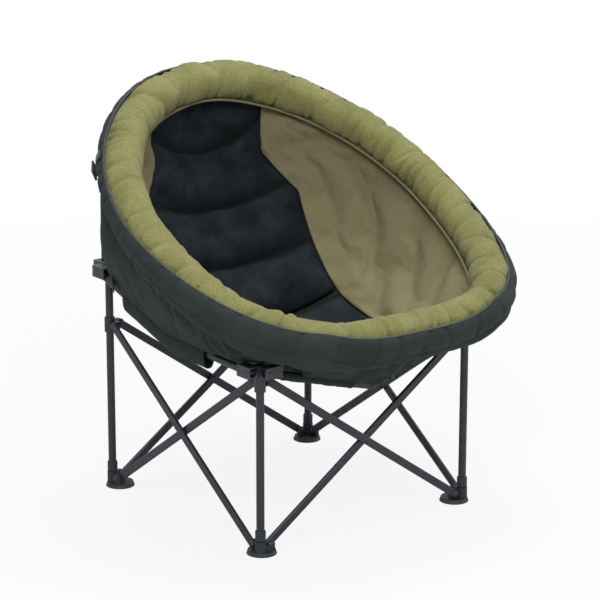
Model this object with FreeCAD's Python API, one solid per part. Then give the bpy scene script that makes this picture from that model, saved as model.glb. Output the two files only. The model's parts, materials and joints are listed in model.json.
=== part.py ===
import FreeCAD, Part
import os
import math

V = FreeCAD.Vector

# Folding round fishing chair, millimetres, +Z up, sitter faces -Y, sitter's right is -X.
# Shapes are drawn from floor level at the centre of the four legs. They are saved from floor level
# below the middle of the rim, which is the middle of the whole outline.

# Legs
LEG = 292.0              # half spacing of the leg axes, both ways
TUBE_R = 9.0             # outer leg and ring tube radius
TUBE_WALL = 1.0
SLIDE_FIT = 0.05         # radial running fit
INNER_R = TUBE_R - TUBE_WALL - SLIDE_FIT
SOLE_T = 5.0             # foot thickness under the inner leg
INNER_TOP = 372.0
OUTER_BOTTOM = 38.0
FRONT_TOP = 435.0        # outer leg top, front
REAR_TOP = 541.0         # outer leg top, rear
COLLAR_R = 11.8
COLLAR_H = 24.0

# Feet and strut brackets
FOOT_R = 34.0
FOOT_EDGE_R = 31.0
FOOT_H = 9.0
FOOT_INSET = 12.7        # foot disc centre lies this far inward in x and y
TOWER_R = 12.5
TOWER_H = 34.0
EAR_T = 8.0
EAR_R = 10.0
PIVOT_IN = 24.0          # strut pivot to leg axis
FOOT_PIVOT_Z = 22.0
TOP_PIVOT_Z = 396.0
BRACKET_DOWN = 18.0
BRACKET_UP = 16.0

# Scissor struts
STRUT_W = 18.0
STRUT_T = 9.0
STRUT_EDGE = 1.6
PLANE_GAP = 0.25         # half the gap between crossing struts
PIN_R = 3.5
PIN_FIT = 0.05
HEAD_R = 6.5
HEAD_TOP_R = 4.6
HEAD_H = 2.0
HEAD_GAP = 0.2

# Ring rails and hoop
RAIL_OUT = 25.0          # rails run this far outside the leg axes
FRONT_PIN_Z = 424.0
REAR_PIN_Z = 525.0
FRONT_DROOP = 82.0       # front knuckle below the corner pins
SIDE_SAG = 40.0          # side knuckle below the chord
RAIL_TAIL = 8.0          # rail beyond its pin
TONGUE_L = 50.0          # flattened end, knuckle to round tube
TONGUE_T = 4.0
TONGUE_W = 18.0
TONGUE_TIP = 12.0
TONGUE_GAP = 0.3
PLUG_L = 14.0            # solid end of the tube behind the flattened part
CAP_R = 13.0
CAP_DOWN = 22.0
CAP_UP = 5.0
CHANNEL_L = 34.0         # channel reach beyond the pin
CHANNEL_T = 2.4
CHANNEL_SIDE = 10.2      # inner face to rail axis
CHANNEL_RISE = 13.2      # web underside above the pin
HOOP_PIN_X = LEG - 34.0  # hoop pivots stand inside the rear legs
HOOP_PIN_Z = 528.0
HOOP_BEND = 150.0        # bend radius of the hoop corners
HOOP_TUBE_END = 50.0     # round tube stops this far from the middle
HOOP_ARM_W = 22.0
HOOP_ARM_T = 10.0

# Bowl
RIM_A = LEG + 114.0      # half width of the rim line
RIM_POW_FRONT = 0.57     # below 1 squares the front corners
RIM_Y = -55.0
RIM_YS = LEG + 96.0
RIM_ZB = 36.0
DEPTH = 336.0
RIM_Z = FRONT_PIN_Z - 88.0 + DEPTH   # a deeper bowl has a higher rim, so its bottom keeps off the rails
RIM_ZS = DEPTH - 119.0   # and its front edge stays where it is
DEPTH_POW_FRONT = 1.05
DEPTH_POW_BACK = 0.78
LEAN = 27.2
LEAN_FRONT = 8.0
LEAN_BACK = 15.0
ROLL_R = 49.0            # rim roll radius that the pieces round it keep clear of
ROLL_EASE = 0.9          # crowns of the gathers inside that radius
ROLL_DIP = 3.6           # dips of the gathers inside that radius
GATHERS = 13             # gathers along each half of the rim
HOOP_Y = RIM_Y + RIM_YS + 25.0
HOOP_TOP_Z = RIM_Z + RIM_ZS - 67.0
SHELL_T = 4.0
SOFT_GAP = 0.6
PAD_GAP = 0.9
PANEL_GAP = 5.0
BAND_T = 4.0
PAD_EDGE = 11.0
PAD_SEAM = 15.0
PAD_CROWN = 40.0
BACK_CHANNELS = 4
SEAT_CHANNELS = 3
PAD_WIDTHS = ((-66, 238), (0, 208), (34, 214), (50, 150), (66, 172))
PANEL_EDGE = 9.0
PANEL_CROWN = 24.0
WALL_T = 1.2             # the bowl wall is aimed at from the rim up to this rim angle
WALL_ANGLE = 0.7
RING_STEPS = 4           # stations along each gather
BAND_FROM = 14.0         # band covers the roll between these angles from the bowl wall
BAND_TO = 140.0
STRAP_DEG = 34.0
STRAP_SPAN = 3.2
STRAP_FROM = 44.0        # strap starts where the skirt ends
STRAP_T = 2.4
STRAP_GAP = 0.4
BUCKLE_AT = 88.0
BUCKLE_W = 34.0
BUCKLE_L = 28.0
BUCKLE_T = 5.0
BUCKLE_LIFT = 0.0
SLEEVE_FRONT = 138.0
SLEEVE_REAR = 177.0
SLEEVE_T = 3.4
SLEEVE_UP = 15.0         # sleeve above and below the rail axis
SLEEVE_DOWN = 24.0
FRONT_SLEEVE_T = 3.2
SKIRT_T = 3.0
SKIRT_TOP = 32.0         # skirt hangs from this angle round the roll, seen from the bowl wall
SKIRT_REAR = 42.0        # rim angle where the skirt ends beside the rear legs
SKIRT_LAP = 6.0          # lower edge above the rail axis
SKIRT_CLEAR = 5.0        # lower edge above the front corner channels

os.makedirs("parts", exist_ok=True)
LEGS = {"rear_right": (-1, 1), "rear_left": (1, 1), "front_right": (-1, -1), "front_left": (1, -1)}
# Scissor pairs: the outer strut hangs from the first leg's bracket, the inner from the second's.
PAIRS = (
    ("rear", "rear_right", "rear_left"),
    ("right", "rear_right", "front_right"),
    ("left", "rear_left", "front_left"),
    ("front", "front_right", "front_left"),
)


def save(shape, name):
    shape.translated(V(0, -RIM_Y, 0)).exportStep("parts/" + name + ".step")


def cyl(r, p, d, length):
    return Part.makeCylinder(r, length, p, d)


def rod(r, p, q):
    return Part.makeCylinder(r, (q - p).Length, p, q - p)


def box(x0, y0, z0, x1, y1, z1):
    lo = V(min(x0, x1), min(y0, y1), min(z0, z1))
    return Part.makeBox(abs(x1 - x0), abs(y1 - y0), abs(z1 - z0), lo)


def pipe(r, p, q):
    return rod(r, p, q).cut(rod(r - TUBE_WALL, p, q))


def pair_axes(leg1, leg2):
    """Unit vectors along a scissor pair and out of its plane, and the point of the plane."""
    a = LEGS[leg1]
    b = LEGS[leg2]
    if a[1] == b[1]:
        return V(1, 0, 0), V(0, a[1], 0), V(0, a[1] * LEG, 0)
    return V(0, 1, 0), V(a[0], 0, 0), V(a[0] * LEG, 0, 0)


def pivot_u(leg, along):
    s = LEGS[leg]
    side = s[0] if along.x else s[1]
    return side * (LEG - PIVOT_IN)


def ears(leg, z, low):
    """Two lugs of a foot (low) or bracket, one for each neighbouring scissor pair."""
    s = LEGS[leg]
    out = None
    for name, leg1, leg2 in PAIRS:
        if leg not in (leg1, leg2):
            continue
        along, normal, base = pair_axes(leg1, leg2)
        outer_strut = (leg == leg1) != low
        v0 = -PLANE_GAP if outer_strut else PLANE_GAP
        v1 = v0 - EAR_T if outer_strut else v0 + EAR_T
        axis = V(s[0] * LEG, s[1] * LEG, 0)
        pin = base + along * pivot_u(leg, along)
        p0 = pin + normal * min(v0, v1) + V(0, 0, z)
        lug = cyl(EAR_R, p0, normal, EAR_T)
        z0 = 0.0 if low else z - EAR_R
        z1 = z if low else z + EAR_R
        a = axis + normal * v0
        b = pin + normal * v1
        lug = lug.fuse(box(a.x, a.y, z0, b.x, b.y, z1))
        if low:
            far = pin - along * (EAR_R * (1 if pivot_u(leg, along) > 0 else -1))
            far = far + normal * v1
            lug = lug.fuse(box(a.x, a.y, 0, far.x, far.y, z))
        hole = cyl(PIN_R + PIN_FIT, p0 - normal, normal, EAR_T + 2)
        lug = lug.cut(hole)
        out = lug if out is None else out.fuse(lug)
    return out


def foot(leg):
    s = LEGS[leg]
    c = V(s[0] * (LEG - FOOT_INSET), s[1] * (LEG - FOOT_INSET), 0)
    axis = V(s[0] * LEG, s[1] * LEG, 0)
    up = V(0, 0, 1)
    body = Part.makeCone(FOOT_R, FOOT_EDGE_R, FOOT_H, c, up)
    body = body.fuse(cyl(TOWER_R, axis, up, TOWER_H))
    body = body.fuse(ears(leg, FOOT_PIVOT_Z, True))
    bore = cyl(INNER_R + SLIDE_FIT, axis + V(0, 0, SOLE_T), up, TOWER_H)
    return body.cut(bore).removeSplitter()


def bracket(leg):
    s = LEGS[leg]
    p = V(s[0] * LEG, s[1] * LEG, TOP_PIVOT_Z - BRACKET_DOWN)
    up = V(0, 0, 1)
    body = cyl(TOWER_R, p, up, BRACKET_DOWN + BRACKET_UP)
    body = body.fuse(ears(leg, TOP_PIVOT_Z, False))
    return body.cut(cyl(TUBE_R, p - up, up, BRACKET_DOWN + BRACKET_UP + 2)).removeSplitter()


def collar(leg):
    s = LEGS[leg]
    up = V(0, 0, 1)
    p = V(s[0] * LEG, s[1] * LEG, OUTER_BOTTOM - 3.2)
    body = cyl(COLLAR_R, p, up, COLLAR_H)
    edges = [e for e in body.Edges if len(e.Vertexes) == 1]
    body = body.makeChamfer(1.2, edges)
    body = body.cut(cyl(INNER_R + 2 * SLIDE_FIT, p - up, up, 60))
    seat = cyl(TUBE_R, V(p.x, p.y, OUTER_BOTTOM), up, 60)
    return body.cut(seat)


def strut(leg1, leg2, outer):
    """Flat bar from the bracket of leg1 to the foot of leg2."""
    along, normal, base = pair_axes(leg1, leg2)
    v0 = PLANE_GAP if outer else -PLANE_GAP - STRUT_T
    a = base + along * pivot_u(leg1, along) + V(0, 0, TOP_PIVOT_Z) + normal * v0
    b = base + along * pivot_u(leg2, along) + V(0, 0, FOOT_PIVOT_Z) + normal * v0
    d = (b - a).normalize()
    w = normal.cross(d) * (STRUT_W / 2)
    rim = [
        Part.LineSegment(a + w, b + w).toShape(),
        Part.Arc(b + w, b + d * (STRUT_W / 2), b - w).toShape(),
        Part.LineSegment(b - w, a - w).toShape(),
        Part.Arc(a - w, a - d * (STRUT_W / 2), a + w).toShape(),
    ]
    bar = Part.Face(Part.Wire(rim)).extrude(normal * STRUT_T)
    flat = [e for e in bar.Edges if abs(e.tangentAt(e.FirstParameter).dot(normal)) < 0.5]
    bar = bar.makeChamfer(STRUT_EDGE, flat)
    mid = (a + b) * 0.5
    for p in (a, b, mid):
        bar = bar.cut(cyl(PIN_R + PIN_FIT, p - normal, normal, STRUT_T + 2))
    return bar


def rivet(p, normal, v_out, v_in):
    """Pin along normal with a head on each end; v_out and v_in are the head seats."""
    pin = cyl(PIN_R, p + normal * v_in, normal, v_out - v_in)
    top = Part.makeCone(HEAD_R, HEAD_TOP_R, HEAD_H, p + normal * v_out, normal)
    low = Part.makeCone(HEAD_R, HEAD_TOP_R, HEAD_H, p + normal * v_in, normal * -1)
    return pin.fuse(top).fuse(low).removeSplitter()


def strut_rivets(leg1, leg2, outer):
    along, normal, base = pair_axes(leg1, leg2)
    side = normal if outer else normal * -1
    a = base + along * pivot_u(leg1, along) + V(0, 0, TOP_PIVOT_Z)
    b = base + along * pivot_u(leg2, along) + V(0, 0, FOOT_PIVOT_Z)
    out_face = PLANE_GAP + STRUT_T
    ear_face = -PLANE_GAP - EAR_T - HEAD_GAP
    made = [rivet(a, side, out_face, ear_face), rivet(b, side, out_face, ear_face)]
    if outer:
        made.append(rivet((a + b) * 0.5, side, out_face, -out_face - HEAD_GAP))
    return Part.makeCompound(made)


for leg, s in LEGS.items():
    axis = V(s[0] * LEG, s[1] * LEG, 0)
    top = REAR_TOP if s[1] > 0 else FRONT_TOP
    save(foot(leg), "foot_" + leg)
    save(pipe(INNER_R, axis + V(0, 0, SOLE_T), axis + V(0, 0, INNER_TOP)), "inner_leg_" + leg)
    save(pipe(TUBE_R, axis + V(0, 0, OUTER_BOTTOM), axis + V(0, 0, top)), "outer_leg_" + leg)
    save(collar(leg), "collar_" + leg)
    save(bracket(leg), "bracket_" + leg)

for name, leg1, leg2 in PAIRS:
    save(strut(leg1, leg2, True), "strut_" + name + "_outer")
    save(strut(leg2, leg1, False), "strut_" + name + "_inner")
    save(strut_rivets(leg1, leg2, True), "rivets_" + name + "_outer")
    save(strut_rivets(leg2, leg1, False), "rivets_" + name + "_inner")


def channel(pin, reach, normal):
    """Steel channel open below, round a rail that leaves pin along reach."""
    start = pin - reach * (RAIL_TAIL + 4)
    end = pin + reach * CHANNEL_L
    made = None
    for v0, v1, z0, z1 in (
        (-CHANNEL_SIDE - CHANNEL_T, -CHANNEL_SIDE, -11, CHANNEL_RISE + CHANNEL_T),
        (CHANNEL_SIDE, CHANNEL_SIDE + CHANNEL_T, -11, CHANNEL_RISE + CHANNEL_T),
        (-CHANNEL_SIDE, CHANNEL_SIDE, CHANNEL_RISE, CHANNEL_RISE + CHANNEL_T),
    ):
        a = start + normal * v0
        b = end + normal * v1
        wall = box(a.x, a.y, pin.z + z0, b.x, b.y, pin.z + z1)
        made = wall if made is None else made.fuse(wall)
    return made


def rail_pin(pin, normal):
    """Cross pin of a rail, headed outside the channel; normal points away from the leg."""
    p = pin - normal * (CHANNEL_SIDE + CHANNEL_T)
    shank = cyl(PIN_R, p, normal, 2 * (CHANNEL_SIDE + CHANNEL_T))
    seat = pin + normal * (CHANNEL_SIDE + CHANNEL_T)
    return shank.fuse(Part.makeCone(HEAD_R, HEAD_TOP_R, HEAD_H, seat, normal))


def leg_cap(s, top):
    axis = V(s[0] * LEG, s[1] * LEG, 0)
    up = V(0, 0, 1)
    body = cyl(CAP_R, axis + V(0, 0, top - CAP_DOWN), up, CAP_DOWN + CAP_UP)
    edge = [e for e in body.Edges if len(e.Vertexes) == 1 and e.CenterOfMass.z > top]
    return body.makeChamfer(2.5, edge)


def cap_bore(s, top):
    axis = V(s[0] * LEG, s[1] * LEG, top - CAP_DOWN - 1)
    return cyl(TUBE_R, axis, V(0, 0, 1), CAP_DOWN + 1)


def tongue_rail(pin, knuckle, normal, side):
    """Tube from its pin to a flattened end that laps beside its partner at the knuckle."""
    d = (knuckle - pin).normalize()
    a = pin - d * RAIL_TAIL
    b = knuckle - d * TONGUE_L
    tube = pipe(TUBE_R, a, b)
    tube = tube.cut(cyl(PIN_R + PIN_FIT, pin - normal * 20, normal, 40))
    w = normal.cross(d) * (TONGUE_W / 2 - 1)
    v0 = TONGUE_GAP if side > 0 else -TONGUE_GAP - TONGUE_T
    r = knuckle + normal * v0
    back = b - d * PLUG_L + normal * v0
    outline = [
        Part.LineSegment(back + w, r + w).toShape(),
        Part.Arc(r + w, r + d * (TONGUE_W / 2 - 1), r - w).toShape(),
        Part.LineSegment(r - w, back - w).toShape(),
        Part.LineSegment(back - w, back + w).toShape(),
    ]
    plate = Part.Face(Part.Wire(outline)).extrude(normal * TONGUE_T)
    plug = rod(TUBE_R - TUBE_WALL, b - d * PLUG_L, b)
    head = r + normal * (TONGUE_T if side > 0 else 0)
    knob = Part.makeCone(HEAD_R, HEAD_TOP_R, HEAD_H, head, normal * side)
    return tube.fuse(plug).fuse(plate).fuse(knob).removeSplitter()


for s in ((-1, "right"), (1, "left")):
    sx, word = s
    # Front corner: cap with two channels and their pins.
    fpin = V(sx * LEG, -LEG - RAIL_OUT, FRONT_PIN_Z)
    spin = V(sx * (LEG + RAIL_OUT), -LEG, FRONT_PIN_Z)
    cap = leg_cap((sx, -1), FRONT_TOP)
    cap = cap.fuse(channel(fpin, V(-sx, 0, 0), V(0, -1, 0)))
    cap = cap.fuse(channel(spin, V(0, 1, 0), V(sx, 0, 0)))
    cap = cap.cut(cap_bore((sx, -1), FRONT_TOP))
    cap = cap.fuse(rail_pin(fpin, V(0, -1, 0))).fuse(rail_pin(spin, V(sx, 0, 0)))
    save(cap.removeSplitter(), "corner_channel_front_" + word)
    # Rear top: cap with a side channel and an arm to the hoop pivot.
    rpin = V(sx * (LEG + RAIL_OUT), LEG, REAR_PIN_Z)
    hpin = V(sx * HOOP_PIN_X, HOOP_Y, HOOP_PIN_Z)
    cap = leg_cap((sx, 1), REAR_TOP)
    cap = cap.fuse(channel(rpin, V(0, -1, 0), V(sx, 0, 0)))
    arm_end = HOOP_Y - TUBE_R - 0.6
    low = HOOP_PIN_Z - HOOP_ARM_W / 2
    high = HOOP_PIN_Z + HOOP_ARM_W / 2
    cap = cap.fuse(box(sx * (LEG - 5), LEG, low, sx * (LEG + 5), arm_end, high))
    cap = cap.fuse(box(sx * (HOOP_PIN_X - 11), arm_end - HOOP_ARM_T, low, sx * (LEG + 5), arm_end, high))
    cap = cap.cut(cap_bore((sx, 1), REAR_TOP))
    cap = cap.fuse(rail_pin(rpin, V(sx, 0, 0)))
    hook = cyl(PIN_R, V(hpin.x, arm_end - 4, hpin.z), V(0, 1, 0), 2 * TUBE_R + 1.2 + 4)
    knob_at = V(hpin.x, arm_end + 2 * TUBE_R + 1.2, hpin.z)
    hook = hook.fuse(Part.makeCone(HEAD_R, HEAD_TOP_R, HEAD_H, knob_at, V(0, 1, 0)))
    save(cap.fuse(hook).removeSplitter(), "corner_channel_rear_" + word)
    # Rails.
    knuckle = V(0, fpin.y, FRONT_PIN_Z - FRONT_DROOP)
    save(tongue_rail(fpin, knuckle, V(0, 1, 0), sx), "front_rail_" + word)
    side_k = V(spin.x, 0, (FRONT_PIN_Z + REAR_PIN_Z) / 2 - SIDE_SAG)
    save(tongue_rail(spin, side_k, V(sx, 0, 0), 1), "side_rail_front_" + word)
    save(tongue_rail(rpin, side_k, V(sx, 0, 0), -1), "side_rail_rear_" + word)
    # Hoop half, bent in one upright plane.
    foot = V(sx * HOOP_PIN_X, HOOP_Y, HOOP_PIN_Z - 14)
    bend = V(foot.x, HOOP_Y, HOOP_TOP_Z - HOOP_BEND)
    turn = V(foot.x - sx * HOOP_BEND, HOOP_Y, HOOP_TOP_Z)
    end = V(sx * HOOP_TUBE_END, HOOP_Y, HOOP_TOP_Z)
    cut = HOOP_BEND * (1 - math.sqrt(0.5))
    mid = V(foot.x - sx * cut, HOOP_Y, HOOP_TOP_Z - cut)
    spine = Part.Wire([
        Part.LineSegment(foot, bend).toShape(),
        Part.Arc(bend, mid, turn).toShape(),
        Part.LineSegment(turn, end).toShape(),
    ])
    ring = Part.Wire(Part.makeCircle(TUBE_R, foot, V(0, 0, 1)))
    bore = Part.Wire(Part.makeCircle(TUBE_R - TUBE_WALL, foot, V(0, 0, 1)))
    tube = spine.makePipeShell([ring], True, False).cut(spine.makePipeShell([bore], True, False))
    end_d = V(-sx, 0, 0)
    lap_l = HOOP_TUBE_END + PLUG_L
    lap = Part.makeBox(lap_l + TONGUE_TIP, TONGUE_T, TONGUE_W - 2)
    v0 = TONGUE_GAP if sx > 0 else -TONGUE_GAP - TONGUE_T
    lap.translate(V(-TONGUE_TIP if sx > 0 else -lap_l, HOOP_Y + v0, HOOP_TOP_Z - TONGUE_W / 2 + 1))
    plug = rod(TUBE_R - TUBE_WALL - 0.02, end - end_d * PLUG_L, end)
    tube = tube.fuse(plug).fuse(lap)
    hole = cyl(PIN_R + PIN_FIT, hpin - V(0, 20, 0), V(0, 1, 0), 40)
    save(tube.cut(hole).removeSplitter(), "hoop_" + word)
    # Cloth sleeve round the outer part of the front rail.
    d = (knuckle - fpin).normalize()
    a = fpin + d * (CHANNEL_L + 8)
    b = knuckle - d * (TONGUE_L + 14)
    sleeve = rod(TUBE_R + FRONT_SLEEVE_T, a, b).cut(rod(TUBE_R + 0.02, a, b))
    save(sleeve, "front_sleeve_" + word)


def rim(t):
    s = math.sin(t)
    c = math.cos(t)
    if s < 0:
        c = math.copysign(abs(c) ** RIM_POW_FRONT, c)
    return V(RIM_A * c, RIM_Y + RIM_YS * s, RIM_Z + RIM_ZS * s + RIM_ZB * s * s)


def section(t):
    """Bowl section at rim angle t: middle of the rim chord, depth direction, arc radius and centre."""
    m = rim(t)
    a = m.x
    h = DEPTH * math.cos(t) ** (DEPTH_POW_FRONT if t < 0 else DEPTH_POW_BACK)
    turn = LEAN_FRONT if t < 0 else LEAN_BACK
    lean = math.radians(LEAN - turn * math.sin(t))
    d = V(0, math.sin(lean), -math.cos(lean))
    rho = (a * a + h * h) / (2 * h)
    return V(0, m.y, m.z), d, rho, h - rho


def on(t, ang, inward):
    """Point of section t at angle ang from the bottom, inward millimetres inside the shell face."""
    m, d, rho, q0 = section(t)
    r = rho - inward
    return m + V(r * math.sin(ang), 0, 0) + d * (q0 + r * math.cos(ang))


RIM_POINTS = [rim(math.radians(i)) for i in range(-90, 91)]


def rim_gap(p):
    q = V(abs(p.x), p.y, p.z)
    return min((q - r).Length for r in RIM_POINTS)


def rim_angle(t, inward, keep):
    """Largest angle at which the section stays keep clear of the rim line."""
    m, d, rho, q0 = section(t)
    lo = 0.0
    hi = math.asin(rim(t).x / rho)
    if q0 > 0:
        hi = math.pi - hi
    for k in range(30):
        mid = (lo + hi) / 2
        if rim_gap(on(t, mid, inward)) > keep:
            lo = mid
        else:
            hi = mid
    return lo


def slab(t, a0, a1, in0, in_edge, in_mid):
    """Closed section of a padded piece between angles a0 and a1, crowned in the middle."""
    c = (a0 + a1) / 2
    pts = [on(t, a0, in0), on(t, c, in0), on(t, a1, in0)]
    top = [on(t, a1, in0 + in_edge), on(t, c, in0 + in_mid), on(t, a0, in0 + in_edge)]
    return Part.Wire([
        Part.Arc(pts[0], pts[1], pts[2]).toShape(),
        Part.LineSegment(pts[2], top[0]).toShape(),
        Part.Arc(top[0], top[1], top[2]).toShape(),
        Part.LineSegment(top[2], pts[0]).toShape(),
    ])


CLEAR = ROLL_R + SOFT_GAP
SHELL_CLEAR = CLEAR + BAND_T + SOFT_GAP

# Outer shell of the bowl: thin sections, each of two arcs outside and two inside.
wires = []
for deg in [-77, -75, -72, -68] + list(range(-64, 72, 5)) + [75, 78, 80, 82]:
    t = math.radians(deg)
    e = min(rim_angle(t, 0, SHELL_CLEAR), rim_angle(t, SHELL_T, SHELL_CLEAR))
    edges = []
    for inward, turn in ((0, 1), (SHELL_T, -1)):
        row = [on(t, turn * k * e / 2, inward) for k in (-2, -1, 0, 1, 2)]
        edges.append(Part.Arc(row[0], row[1], row[2]).toShape())
        edges.append(Part.Arc(row[2], row[3], row[4]).toShape())
        other = on(t, turn * e, SHELL_T - inward)
        edges.append(Part.LineSegment(row[4], other).toShape())
    wires.append(Part.Wire(edges))
save(Part.makeLoft(wires, True, True), "bowl_shell")

# Quilted back and seat pads and plain side panels, lying in the shell.
INSIDE = SHELL_T + PAD_GAP


def half_width(deg):
    """Half width of the quilted pads along the bowl, waisted below the top channel."""
    for (d0, w0), (d1, w1) in zip(PAD_WIDTHS, PAD_WIDTHS[1:]):
        if d0 <= deg <= d1:
            return w0 + (w1 - w0) * (deg - d0) / (d1 - d0)
    return PAD_WIDTHS[0][1] if deg < 0 else PAD_WIDTHS[-1][1]


def pad_angle(t):
    m, d, rho, q0 = section(t)
    w = half_width(math.degrees(t))
    stop = rim_angle(t, INSIDE + PAD_EDGE, CLEAR + 6)
    return min(math.asin(min(0.98, w / (rho - INSIDE))), stop)


def quilt(deg0, deg1, channels):
    """Pad with crowned channels across it, thinned to a seam between them and at its ends."""
    wires = []
    steps = 4 * channels
    for k in range(steps + 1):
        deg = deg0 + (deg1 - deg0) * k / steps
        t = math.radians(deg)
        swell = abs(math.sin(math.pi * k / 4))
        crown = PAD_SEAM + (PAD_CROWN - PAD_SEAM) * swell
        edge = PAD_EDGE
        if k in (0, steps):
            edge = PAD_EDGE * 0.6
            crown = PAD_EDGE * 0.8
        e = pad_angle(t)
        wires.append(slab(t, -e, e, INSIDE, edge, crown))
    return Part.makeLoft(wires, True, True)


save(quilt(2.5, 66, BACK_CHANNELS), "back_pad")
save(quilt(-66, 0.5, SEAT_CHANNELS), "seat_pad")

for sx, word in ((-1, "right"), (1, "left")):
    wires = []
    for deg in range(-45, 58, 6):
        t = math.radians(deg)
        a0 = pad_angle(t) + PANEL_GAP / section(t)[2]
        a1 = rim_angle(t, INSIDE + PANEL_EDGE, CLEAR + 1.5)
        a1 = min(a1, rim_angle(t, INSIDE, CLEAR + 1.5))
        swell = min(1.0, (deg + 45) / 12, (57 - deg) / 12)
        crown = PANEL_EDGE + 2 + (PANEL_CROWN - PANEL_EDGE - 2) * swell
        edge = PANEL_EDGE * (0.7 + 0.3 * swell)
        lo, hi = (a0, a1) if sx > 0 else (-a1, -a0)
        wires.append(slab(t, lo, hi, INSIDE, edge, crown))
    save(Part.makeLoft(wires, True, True), "side_panel_" + word)


def rim_frame(t):
    """Tangent of the rim line, direction into the bowl wall and direction out of the bowl."""
    h = 0.001
    tan = (rim(t + h) - rim(t - h)).normalize()
    tc = max(-WALL_T, min(WALL_T, t))
    wall = on(tc, WALL_ANGLE, 0) - rim(t)
    wall = V(wall.x * math.cos(t), wall.y, wall.z)
    wall = (wall - tan * wall.dot(tan)).normalize()
    return tan, wall, wall.cross(tan)


def round_wire(c, u, v, r):
    pts = []
    for k in range(6):
        g = math.pi * k / 3
        pts.append(c + u * (r * math.cos(g)) + v * (r * math.sin(g)))
    return Part.Wire([
        Part.Arc(pts[0], pts[1], pts[2]).toShape(),
        Part.Arc(pts[2], pts[3], pts[4]).toShape(),
        Part.Arc(pts[4], pts[5], pts[0]).toShape(),
    ])


def band_wire(c, u, v, r, thick, deg0, deg1):
    """Strip round the outside of the rim roll, from the bowl wall to past the top."""
    rows = []
    for radius in (r, r + thick):
        row = []
        for deg in (deg0, (deg0 + deg1) / 2, deg1):
            g = math.radians(deg)
            row.append(c + u * (radius * math.cos(g)) + v * (radius * math.sin(g)))
        rows.append(row)
    lo, hi = rows
    return Part.Wire([
        Part.Arc(lo[0], lo[1], lo[2]).toShape(),
        Part.LineSegment(lo[2], hi[2]).toShape(),
        Part.Arc(hi[2], hi[1], hi[0]).toShape(),
        Part.LineSegment(hi[0], lo[0]).toShape(),
    ])


def whole_rim(t):
    """Rim point and frame for any angle; the right half mirrors the left."""
    if math.cos(t) >= 0:
        tan, wall, out = rim_frame(t)
        return rim(t), wall, out
    tan, wall, out = rim_frame(math.pi - t)
    return rim(t), V(-wall.x, wall.y, wall.z), V(-out.x, out.y, out.z)


def even_rim(count):
    """Rim angles from the middle of the front to the middle of the back, evenly spaced along the rim."""
    fine = [math.radians(-90 + i / 10) for i in range(1801)]
    run = [0.0]
    for t0, t1 in zip(fine, fine[1:]):
        run.append(run[-1] + (rim(t1) - rim(t0)).Length)
    made = []
    i = 0
    for k in range(count + 1):
        want = run[-1] * k / count
        while i < len(run) - 2 and run[i + 1] < want:
            i = i + 1
        f = (want - run[i]) / (run[i + 1] - run[i])
        made.append(fine[i] + (fine[i + 1] - fine[i]) * f)
    return made


half_ring = even_rim(RING_STEPS * GATHERS)
ring = half_ring + [math.pi - t for t in half_ring[-2:0:-1]]
roll = []
band = []
for k, t in enumerate(ring):
    c, wall, out = whole_rim(t)
    dip = (1 - math.cos(2 * math.pi * k / RING_STEPS)) / 2
    r = ROLL_R - ROLL_EASE - (ROLL_DIP - ROLL_EASE) * dip
    roll.append(round_wire(c, wall, out, r))
    band.append(band_wire(c, wall, out, ROLL_R + SOFT_GAP, BAND_T, BAND_FROM, BAND_TO))
save(Part.makeLoft(roll, True, True, True), "rim_roll")
save(Part.makeLoft(band, True, True, True), "rim_band")

# Webbing straps over the rim band, each with a ladder buckle.
made = []
for sx in (-1, 1):
    wires = []
    for k in (-1, 0, 1):
        t = math.radians(STRAP_DEG + k * STRAP_SPAN / 2)
        c, wall, out = whole_rim(t if sx > 0 else math.pi - t)
        r = ROLL_R + SOFT_GAP + BAND_T + STRAP_GAP
        wires.append(band_wire(c, wall, out, r, STRAP_T, STRAP_FROM, BAND_TO))
    made.append(Part.makeLoft(wires, True, True))
    t = math.radians(STRAP_DEG)
    c, wall, out = whole_rim(t if sx > 0 else math.pi - t)
    g = math.radians(BUCKLE_AT)
    n = wall * math.cos(g) + out * math.sin(g)
    w = out * math.cos(g) - wall * math.sin(g)
    u = w.cross(n)
    at = c + n * (ROLL_R + SOFT_GAP + BAND_T + 2 * STRAP_GAP + STRAP_T + BUCKLE_LIFT)
    plate = Part.makeBox(BUCKLE_W, BUCKLE_L, BUCKLE_T, V(-BUCKLE_W / 2, -BUCKLE_L / 2, 0))
    plate = plate.makeFillet(4.0, [e for e in plate.Edges if abs(e.tangentAt(0).z) > 0.9])
    for y in (-BUCKLE_L / 4, BUCKLE_L / 4):
        slot = Part.makeBox(BUCKLE_W - 8, 5, BUCKLE_T + 2, V(-BUCKLE_W / 2 + 4, y - 2.5, -1))
        plate = plate.cut(slot)
    m = FreeCAD.Matrix(u.x, w.x, n.x, at.x, u.y, w.y, n.y, at.y, u.z, w.z, n.z, at.z, 0, 0, 0, 1)
    plate.transformShape(m)
    made.append(plate)
save(Part.makeCompound(made), "strap_buckles")

# Sleeves that hold the side rails, bent where the rails are jointed.
KNUCKLE_Z = (FRONT_PIN_Z + REAR_PIN_Z) / 2 - SIDE_SAG
SLEEVE_X = TUBE_R + SOFT_GAP + SLEEVE_T


def side_z(y):
    """Height of the side rail axis at y."""
    end = FRONT_PIN_Z if y < 0 else REAR_PIN_Z
    return KNUCKLE_Z + (end - KNUCKLE_Z) * abs(y) / LEG


def frame_wire(cx, half, y, low, high):
    pts = [V(cx + x, y, side_z(y) + z) for x, z in ((-half, low), (half, low), (half, high), (-half, high))]
    return Part.makePolygon(pts + pts[:1])


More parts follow.
